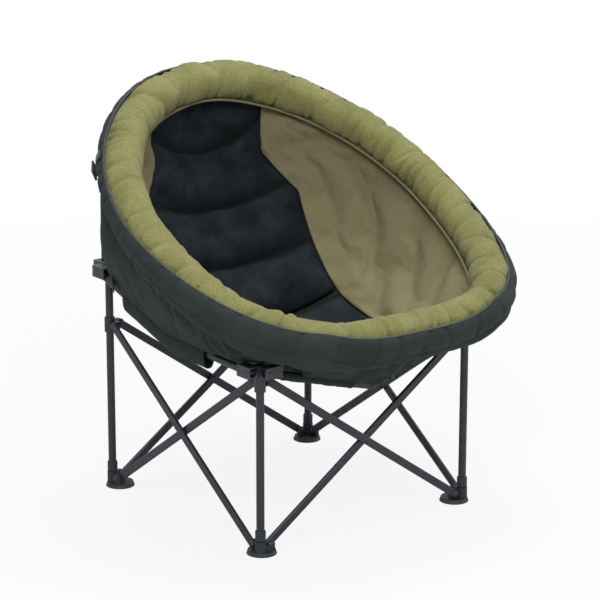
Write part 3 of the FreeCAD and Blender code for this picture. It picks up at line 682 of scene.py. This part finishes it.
fleece_cut = (rim_length * FLEECE_EASE, 2 * math.pi * ROLL_R)
bm = cloth_grid(760, 44, roll_place, fleece_cut)
bmesh.ops.remove_doubles(bm, verts=bm.verts[:], dist=0.0005)
roll = piece("fleece_roll", bm)
flat = flat_of(roll)
deg = flat[:, 1] * 360
along = flat[:, 0] * rim_length
outer_seam = np.array([band_top(rim_t(u)) for u in flat[:, 0]]) - 3
inner_seam = 360 + INNER_SEAM
x = np.clip((deg - outer_seam) / (inner_seam - outer_seam), 0, 1)
loose = ((deg > outer_seam) & (deg < inner_seam + 12)) * 1.0
print("roll points", len(flat), "of them loose", int(loose.sum()))

# %% Lumps, corners and grooves of the roll
LUMP, WRINKLE, SWELL, CORNER_BUMP, SEAM_DIP = 0.0050, 0.0022, 0.0022, 0.012, 0.0035
co = coords(roll)
middle = np.array([rim(rim_t(u)) for u in flat[:, 0]])
out = (co - middle) / np.linalg.norm(co - middle, axis=1, keepdims=True)
lump = np.array([noise.noise(Vector(c) * 11.0) for c in co]) * LUMP
wrinkle = np.array([noise.noise(Vector((a * 95, k * 2.2, 1.7))) for a, k in zip(along, x)])
lump += wrinkle * WRINKLE * (x ** 3 + (1 - x) ** 3)
for corner in CORNERS:
    near = np.exp(-(((along - corner) / 0.032) ** 2))
    lump += CORNER_BUMP * near * np.exp(-(((x - 0.25) / 0.3) ** 2))
seam_dip = SEAM_DIP * (np.exp(-((x / 0.05) ** 2)) + np.exp(-(((1 - x) / 0.05) ** 2)))
move = loose * (lump + np.sin(math.pi * x) * SWELL - groove(along, x) - seam_dip)
under_band = (deg < outer_seam + 8) & (deg > 20)
co += out * np.where(under_band, np.minimum(move, -0.001), move)[:, None]
roll.data.vertices.foreach_set("co", co.ravel())
held = np.where((loose > 0) & (x > 0.02) & (x < 0.98), 0.0, 1.0)
stuff(roll, held, 1.2, spare=0.02, frames=8, cap=0.0025, bend=0.6)
dress(roll, fleece, "fleece", "rim_roll")

# %% [markdown]
# ## Welt and piping
# A thin cord covered in cloth is sewn into the seam between the roll and the bowl, and a black one
# where the fleece meets the outer band. They hide the stitches and draw a clear line along each seam.

# %% Cords sewn along the roll
def seam_cord(name, angle, reach, r, mat, slot):
    """A covered cord at an angle round the roll, with its middle at a reach from the rim line."""

    def place(u, v):
        t = rim_t(u)
        c, wall, side = rim_frame(t)
        g = math.radians(angle(t))
        away = wall * math.cos(g) + side * math.sin(g)
        turn = side * math.cos(g) - wall * math.sin(g)
        a = 2 * math.pi * v
        return c + away * (reach + r * math.cos(a)) + turn * (r * math.sin(a))

    bm = cloth_grid(420, 10, place, (rim_length, 2 * math.pi * r))
    bmesh.ops.remove_doubles(bm, verts=bm.verts[:], dist=0.00005)
    obj = piece(name, bm)
    dress(obj, mat, slot)
    print(name, len(obj.data.vertices), "points")


seam_cord("seam_welt", lambda t: INNER_SEAM - 4, ROLL_START + 0.0015, 0.0032, khaki, "khaki_cloth")
seam_cord("band_piping", lambda t: band_top(t) + 1, ROLL_R + 0.0006, 0.0026, webbing, "shell_cloth")

# %% [markdown]
# ## Rim band
# A strip of the shell's twill runs round the outside of the roll and hides its stuffing seam. It
# is a long sheet, slightly longer than the rim, so it wrinkles between its two sewn edges and the
# line of stitches between them.

# %% Band
BAND_FROM = 20.0  # degrees round the roll from the bowl wall
BAND_ROWS = 24
BAND_CREASE = 14 / BAND_ROWS  # a sewn line part of the way up
BAND_PUFF, BAND_CLEAR = 0.0062, 0.0008
BAND_CUT = (rim_length * 1.05, 0.105)
random.seed(5)
tucks = []
at = 0.0
while at < rim_length - 0.02:
    wide, deep = random.uniform(0.004, 0.009), random.uniform(0.0015, 0.0045)
    tucks.append((at, wide, deep, random.uniform(-0.05, 0.05)))
    at += random.uniform(0.03, 0.085)
print("tucks", len(tucks))


def band_place(u, v):
    t = rim_t(u)
    lobe = v / BAND_CREASE if v < BAND_CREASE else (v - BAND_CREASE) / (1 - BAND_CREASE)
    puff = BAND_PUFF * max(0.0, math.sin(math.pi * min(1.0, lobe))) ** 0.6
    for at, wide, deep, slant in tucks:
        off = u * rim_length - at - slant * (v - 0.5)
        if abs(off) < 4 * wide:
            puff -= deep * math.exp(-abs(off / wide) ** 1.5) * (0.3 + 0.7 * abs(2 * v - 1))
    return around(t, BAND_FROM + (band_top(t) - BAND_FROM) * v, ROLL_R + BAND_CLEAR + puff)


bm = cloth_grid(640, BAND_ROWS, band_place, BAND_CUT)
bmesh.ops.remove_doubles(bm, verts=bm.verts[:], dist=0.0005)
band = piece("outer_band", bm)
flat = flat_of(band)
sewn = np.minimum(np.minimum(flat[:, 1], 1 - flat[:, 1]), np.abs(flat[:, 1] - BAND_CREASE))
stuff(band, (sewn < 0.02) * 1.0, 0.4, spare=0.02, frames=8, cap=0.003, bend=0.5)
thicken(band, 0.0024, 0)
dress(band, twill, "shell_cloth", "rim_band")

# %% [markdown]
# ## Skirt
# Below the band the outer cloth hangs down to the rails, round the front and both sides. Its top
# edge is sewn under the band and its lower edge to the rail tunnels, so it stands out a little in
# the middle and has shallow wrinkles that run from edge to edge.

# %% Skirt
# Legs and rails as the frame has them: half spacings, heights of the pins, and the joints' drop.
LEG, RAIL = 0.292, 0.317
LEGS_Y = 0.055
FRONT_PIN, REAR_PIN, KNUCKLE, DROOP = 0.424, 0.525, 0.4345, 0.082
# Lower edge of the skirt: beside the rails, cut off at the corners and above the corner channels.
SKIRT_X, SKIRT_Y, CORNER, CHANNEL_TOP = 0.3306, 0.3298, 0.250, 0.4446
SIDE_UP, FRONT_UP = 0.012, 0.006
SIDE_FROM, FRONT_TO, SKIRT_REAR = -40.0, -66.0, 42.0  # rim angles in degrees
SKIRT_CUT = (1.62, 0.22)


def side_z(y):
    """Height of the side rail at y, measured from the centre of the legs."""
    return KNUCKLE + ((FRONT_PIN if y < 0 else REAR_PIN) - KNUCKLE) * abs(y) / LEG


def skirt_foot(deg):
    """Lower edge of the skirt on the left half, for rim angles from the front to the rear leg."""
    if deg > SIDE_FROM:
        y = -CORNER + (LEG - 0.062 + CORNER) * (deg - SIDE_FROM) / (SKIRT_REAR - SIDE_FROM)
        z = side_z(y) + SIDE_UP
        z = max(z, CHANNEL_TOP) if y < 0.07 - CORNER else z
        return Vector((SKIRT_X, LEGS_Y + y, z)), Vector((1, 0, 0))
    if deg > FRONT_TO:
        f = (deg - FRONT_TO) / (SIDE_FROM - FRONT_TO)
        x = CORNER + (SKIRT_X - CORNER) * f
        y = LEGS_Y - SKIRT_Y + (SKIRT_Y - CORNER) * f
        return Vector((x, y, CHANNEL_TOP)), Vector((f, f - 1, 0)).normalized()
    f = (deg + 90) / (FRONT_TO + 90)
    z = FRONT_PIN - DROOP * (1 - abs(CORNER * f) / LEG) + FRONT_UP
    return Vector((CORNER * f, LEGS_Y - SKIRT_Y, CHANNEL_TOP if f > 0.85 else z)), Vector((0, -1, 0))


SKIRT_U = (rim_u(math.radians(180 - SKIRT_REAR)) - 1, rim_u(math.radians(SKIRT_REAR)))


def skirt_place(u, v):
    share = SKIRT_U[0] + (SKIRT_U[1] - SKIRT_U[0]) * u
    t = rim_t(share)
    side = 1 if math.cos(t) >= 0 else -1
    deg = math.degrees(math.atan2(math.sin(t), abs(math.cos(t))))
    top = around(t, 32, ROLL_R + 0.0062)
    low, away = (Vector((side * p.x, p.y, p.z)) for p in skirt_foot(deg))
    rear = min(1.0, max(0.0, (deg - 2) / 30))
    bulge = (0.010 + 0.026 * rear * rear * (3 - 2 * rear)) * math.sin(math.pi * v) ** 0.8
    bulge -= 0.030 * max(0.0, 1 - min(u, 1 - u) / 0.035) ** 2
    fold = noise.noise(Vector((share * 60, v * 1.5, 3.1))) * 0.004 * math.sin(math.pi * v)
    return top.lerp(low + away * 0.0015, v) + away * (bulge + fold)


skirt = piece("skirt_cloth", cloth_grid(360, 26, skirt_place, SKIRT_CUT))
flat = flat_of(skirt)
held = (np.minimum(flat[:, 1], 1 - flat[:, 1]) < 0.03) * 1.0
stuff(skirt, held, 0.2, spare=0.025, frames=10, cap=0.006, bend=0.6)
thicken(skirt, 0.0024, 0)
dress(skirt, twill, "shell_cloth", "outer_skirt")

# %% [markdown]
# ## Tunnels on the rails
# The lower edge of the skirt ends in tunnels of the same cloth that the rails run through. The
# side tunnels are long and flat and bend where the rails are jointed. The front ones fit closely
# and have open ends.

# %% Two sides from one grid
def two_sides(u):
    """Side of the chair, and the share along that side's piece, for a place along the whole grid."""
    side = -1 if u < 0.5 else 1
    f = (u / 0.49) if u < 0.5 else ((u - 0.51) / 0.49)
    return side, min(1.0, max(0.0, f))


def cut_apart(bm):
    """Removes the faces that cross from one side of the chair to the other."""
    gap = [f for f in bm.faces if f.calc_center_median().x ** 2 < 0.04]
    bmesh.ops.delete(bm, geom=gap, context="FACES")


# %% Side tunnels
TUNNEL_Y = (-0.138, 0.177)
TUNNEL_HALF, TUNNEL_UP, TUNNEL_DOWN = 0.0152, 0.0150, 0.0330


def tunnel_place(u, v):
    side, f = two_sides(u)
    y = TUNNEL_Y[0] + (TUNNEL_Y[1] - TUNNEL_Y[0]) * f
    a = 2 * math.pi * v
    half = TUNNEL_HALF + noise.noise(Vector((y * 40, v * 4, side * 2.0))) * 0.0016
    tall = TUNNEL_UP if math.cos(a) > 0 else TUNNEL_DOWN
    x = half * math.copysign(abs(math.sin(a)) ** 0.7, math.sin(a))
    z = tall * math.copysign(abs(math.cos(a)) ** 0.9, math.cos(a))
    return Vector((side * (RAIL + x), LEGS_Y + y, side_z(y) + z))


bm = cloth_grid(100, 28, tunnel_place, (0.315, 0.10))
cut_apart(bm)
bmesh.ops.remove_doubles(bm, verts=bm.verts[:], dist=0.0001)
tunnels = piece("side_tunnels", bm)
thicken(tunnels, 0.0022, -1)
dress(tunnels, twill, "shell_cloth", "rail_sleeves")

# %% Front tunnels
FRONT_R, FRONT_ROUND = 0.0108, 0.072
PIN_CLEAR, KNUCKLE_CLEAR = 0.042, 0.064
BACKWARD = Vector((0, 1, 0))
for sx, word in ((-1, "right"), (1, "left")):
    pin = Vector((sx * LEG, LEGS_Y - RAIL, FRONT_PIN))
    knuckle = Vector((0, LEGS_Y - RAIL, FRONT_PIN - DROOP))
    run = (knuckle - pin).normalized()
    start, end = pin + run * PIN_CLEAR, knuckle - run * KNUCKLE_CLEAR
    up = BACKWARD.cross(run)

    def front_place(u, v):
        a = 2 * math.pi * v
        wrinkle = noise.noise(Vector((u * 14, math.cos(a) * 1.5, math.sin(a) * 1.5 + sx)))
        r = FRONT_R + 0.0012 * wrinkle
        r += 0.0016 * max(0.0, (u - 0.93) / 0.07)
        return start.lerp(end, u) + BACKWARD * (r * math.cos(a)) + up * (r * math.sin(a))

    bm = cloth_grid(70, 28, front_place, ((end - start).length, FRONT_ROUND))
    bmesh.ops.remove_doubles(bm, verts=bm.verts[:], dist=0.0001)
    tunnel = piece("front_tunnel_" + word, bm)
    thicken(tunnel, 0.0016, -1)
    tunnel.data.materials.append(twill)
    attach(tunnel, "front_rail_" + word)
    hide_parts("front_sleeve_" + word)

# %% [markdown]
# ## Straps and ladder buckles
# A webbing strap crosses the band at each rear side, passes a ladder buckle and hangs down over
# the skirt. The strap is a flat woven strip, so it is laid along its path. The buckle is a moulded
# plate with two slots, cut from a grid and given thickness and rounded edges.

# %% Straps
STRAP_DEG, STRAP_HALF, STRAP_LONG = 34.0, 0.0125, 0.32
STRAP_TOP, STRAP_TURN = 134, 46  # degrees round the roll where it starts and where it leaves the band
STRAP_R = ROLL_R + 0.0085
ON_BAND = 0.45  # share of the strap that lies on the band


def strap_t(side):
    """Rim angle of the strap on a side."""
    t = math.radians(STRAP_DEG)
    return t if side > 0 else math.pi - t


def strap_path(side, f):
    """Middle of the strap: over the band, then down the outside of the skirt."""
    t = strap_t(side)
    if f < ON_BAND:
        return around(t, STRAP_TOP - (STRAP_TOP - STRAP_TURN) * f / ON_BAND, STRAP_R)
    low = skirt_foot(STRAP_DEG)[0]
    low = Vector((side * low.x, low.y, low.z))
    top = around(t, STRAP_TURN, STRAP_R)
    g = (f - ON_BAND) / (1 - ON_BAND)
    out = Vector((side, 0, 0)) * (0.009 + 0.006 * math.sin(math.pi * g))
    return top.lerp(low + Vector((side * 0.010, 0, 0.010)), g) + out * min(1.0, g * 4)


def strap_place(u, v):
    side, f = two_sides(u)
    t = strap_t(side)
    tan = (rim(t + 0.001) - rim(t - 0.001)).normalized()
    return strap_path(side, f) + tan * (STRAP_HALF * (2 * v - 1))


bm = cloth_grid(160, 6, strap_place, (STRAP_LONG, 2 * STRAP_HALF))
cut_apart(bm)
straps = piece("webbing_straps", bm)
thicken(straps, 0.002, 1)
dress(straps, webbing, "webbing", "strap_buckles")
print("strap area", round(area_of(straps), 4))

# %% Ladder buckles
BUCKLE_SIZE = (0.036, 0.030, 0.030)  # width and height, and the scale of its thickness
BUCKLE_DEG, BUCKLE_R = 84, ROLL_R + 0.0135
bm = bmesh.new()
for side in (-1, 1):
    c, wall_dir, out_dir = rim_frame(strap_t(side))
    g = math.radians(BUCKLE_DEG)
    n = wall_dir * math.cos(g) + out_dir * math.sin(g)
    w = (out_dir * math.cos(g) - wall_dir * math.sin(g)).normalized()
    turn = Matrix((w.cross(n), w, n)).transposed().to_4x4()
    turn.translation = c + n * BUCKLE_R
    made = bmesh.ops.create_grid(bm, x_segments=5, y_segments=5, size=0.5)["verts"]
    faces = list({f for v in made for f in v.link_faces})
    middles = {f: f.calc_center_median() for f in faces}
    slots = [f for f, m in middles.items() if abs(m.x) < 0.35 and 0.1 < abs(m.y) < 0.3]
    bmesh.ops.delete(bm, geom=slots, context="FACES")
    left = [f for f in faces if f.is_valid]
    raised = bmesh.ops.extrude_face_region(bm, geom=left)["geom"]
    raised = [v for v in raised if isinstance(v, bmesh.types.BMVert)]
    for v in raised:
        v.co.z += 0.16
    whole = list({v for v in made if v.is_valid} | set(raised))
    bmesh.ops.scale(bm, vec=BUCKLE_SIZE, verts=whole)
    bmesh.ops.transform(bm, matrix=turn, verts=whole)
sharp = [e for e in bm.edges if len(e.link_faces) == 2 and e.calc_face_angle() > 1.0]
bmesh.ops.bevel(
    bm, geom=sharp, offset=0.0008, offset_type="OFFSET", segments=2, profile=0.5, affect="EDGES", material=-1
)
buckles = piece("ladder_buckles", bm)
dress(buckles, plastic, "plastic")
print("buckle faces", len(buckles.data.polygons))

# %% [markdown]
# ## Stage, light and camera
# A pale floor keeps the soft shadow, wide lamps give even light, and the camera stands where the
# photograph was taken, far away with a long lens.

# %% Floor
NEAR_SHARE, FAR_SHARE, NEAR, FAR = 0.86, 1.0, 0.9, 3.0  # how white the camera sees the floor, and where
bm = bmesh.new()
bmesh.ops.create_grid(bm, x_segments=1, y_segments=1, size=30)
floor = piece("floor", bm)
ground, b = finish("pale_floor", 0.9)
b.inputs["Base Color"].default_value = (0.92, 0.92, 0.92, 1)
glow = add(ground, "ShaderNodeEmission", Strength=1.0)
path = add(ground, "ShaderNodeLightPath")
place = mapped(ground, "Object")
far = add(ground, "ShaderNodeVectorMath", {0: place}, operation="LENGTH")
fade = add(ground, "ShaderNodeMapRange", {"Value": far.outputs["Value"]})
limits = {"From Min": NEAR, "From Max": FAR, "To Min": NEAR_SHARE, "To Max": FAR_SHARE}
for key, value in limits.items():
    fade.inputs[key].default_value = value
seen = {0: path.outputs["Is Camera Ray"], 1: fade.outputs["Result"]}
share = add(ground, "ShaderNodeMath", seen, operation="MULTIPLY")
looks = {0: share.outputs[0], 1: b.outputs["BSDF"], 2: glow.outputs["Emission"]}
both = add(ground, "ShaderNodeMixShader", looks)
join(ground, both.outputs["Shader"], ground.node_tree.nodes["Material Output"].inputs["Surface"])
floor.data.materials.append(ground)
print("floor", floor.name)

# %% White surroundings
AMBIENT, SEEN_WHITE = 0.28, 1.0
world = bpy.data.worlds.new("studio")
bpy.context.scene.world = world
world.use_nodes = True
sky = world.node_tree.nodes["Background"]
sky.inputs["Color"].default_value = (1, 1, 1, 1)
path = add(world, "ShaderNodeLightPath")
rays = {0: path.outputs["Is Camera Ray"], 1: path.outputs["Is Glossy Ray"]}
seen = add(world, "ShaderNodeMath", rays, operation="MAXIMUM")
level = add(world, "ShaderNodeMapRange", {"Value": seen.outputs[0]})
level.inputs["To Min"].default_value = AMBIENT
level.inputs["To Max"].default_value = SEEN_WHITE
join(world, level.outputs["Result"], sky.inputs["Strength"])
print("surroundings", AMBIENT)

# %% Lamps
def lamp(name, at, target, size, power):
    """Round area lamp that points at a target; size in metres, power in watts."""
    data = bpy.data.lights.new(name, "AREA")
    data.shape = "DISK"
    data.size = size
    data.energy = power
    obj = bpy.data.objects.new(name, data)
    obj.location = at
    obj.rotation_euler = (Vector(target) - Vector(at)).to_track_quat("-Z", "Y").to_euler()
    bpy.context.scene.collection.objects.link(obj)


lamp("key", (-2.2, -2.6, 3.2), (0, 0, 0.5), 1.6, 78)
lamp("top", (0.4, 0.3, 3.8), (0, 0, 0.4), 2.0, 60)
lamp("side", (3.0, -1.2, 1.8), (0, 0, 0.5), 2.0, 22)

# %% Camera
CAM_AZ, CAM_EL, CAM_DIST = math.radians(-37.30), math.radians(16.04), 5.988
target = Vector((0, LEGS_Y, 0.4263))
cam = bpy.data.cameras.new("camera")
cam.sensor_width = 36
cam.lens = 156
cam.shift_x = 0.0238
cam.shift_y = 0.0294
cam.clip_end = 100
camera = bpy.data.objects.new("camera", cam)
reach = math.cos(CAM_EL)
towards = Vector((math.sin(CAM_AZ) * reach, -math.cos(CAM_AZ) * reach, math.sin(CAM_EL)))
camera.location = target + CAM_DIST * towards
camera.rotation_euler = (target - camera.location).to_track_quat("-Z", "Y").to_euler()
bpy.context.scene.collection.objects.link(camera)
bpy.context.scene.camera = camera
bpy.context.scene.view_settings.view_transform = "Standard"
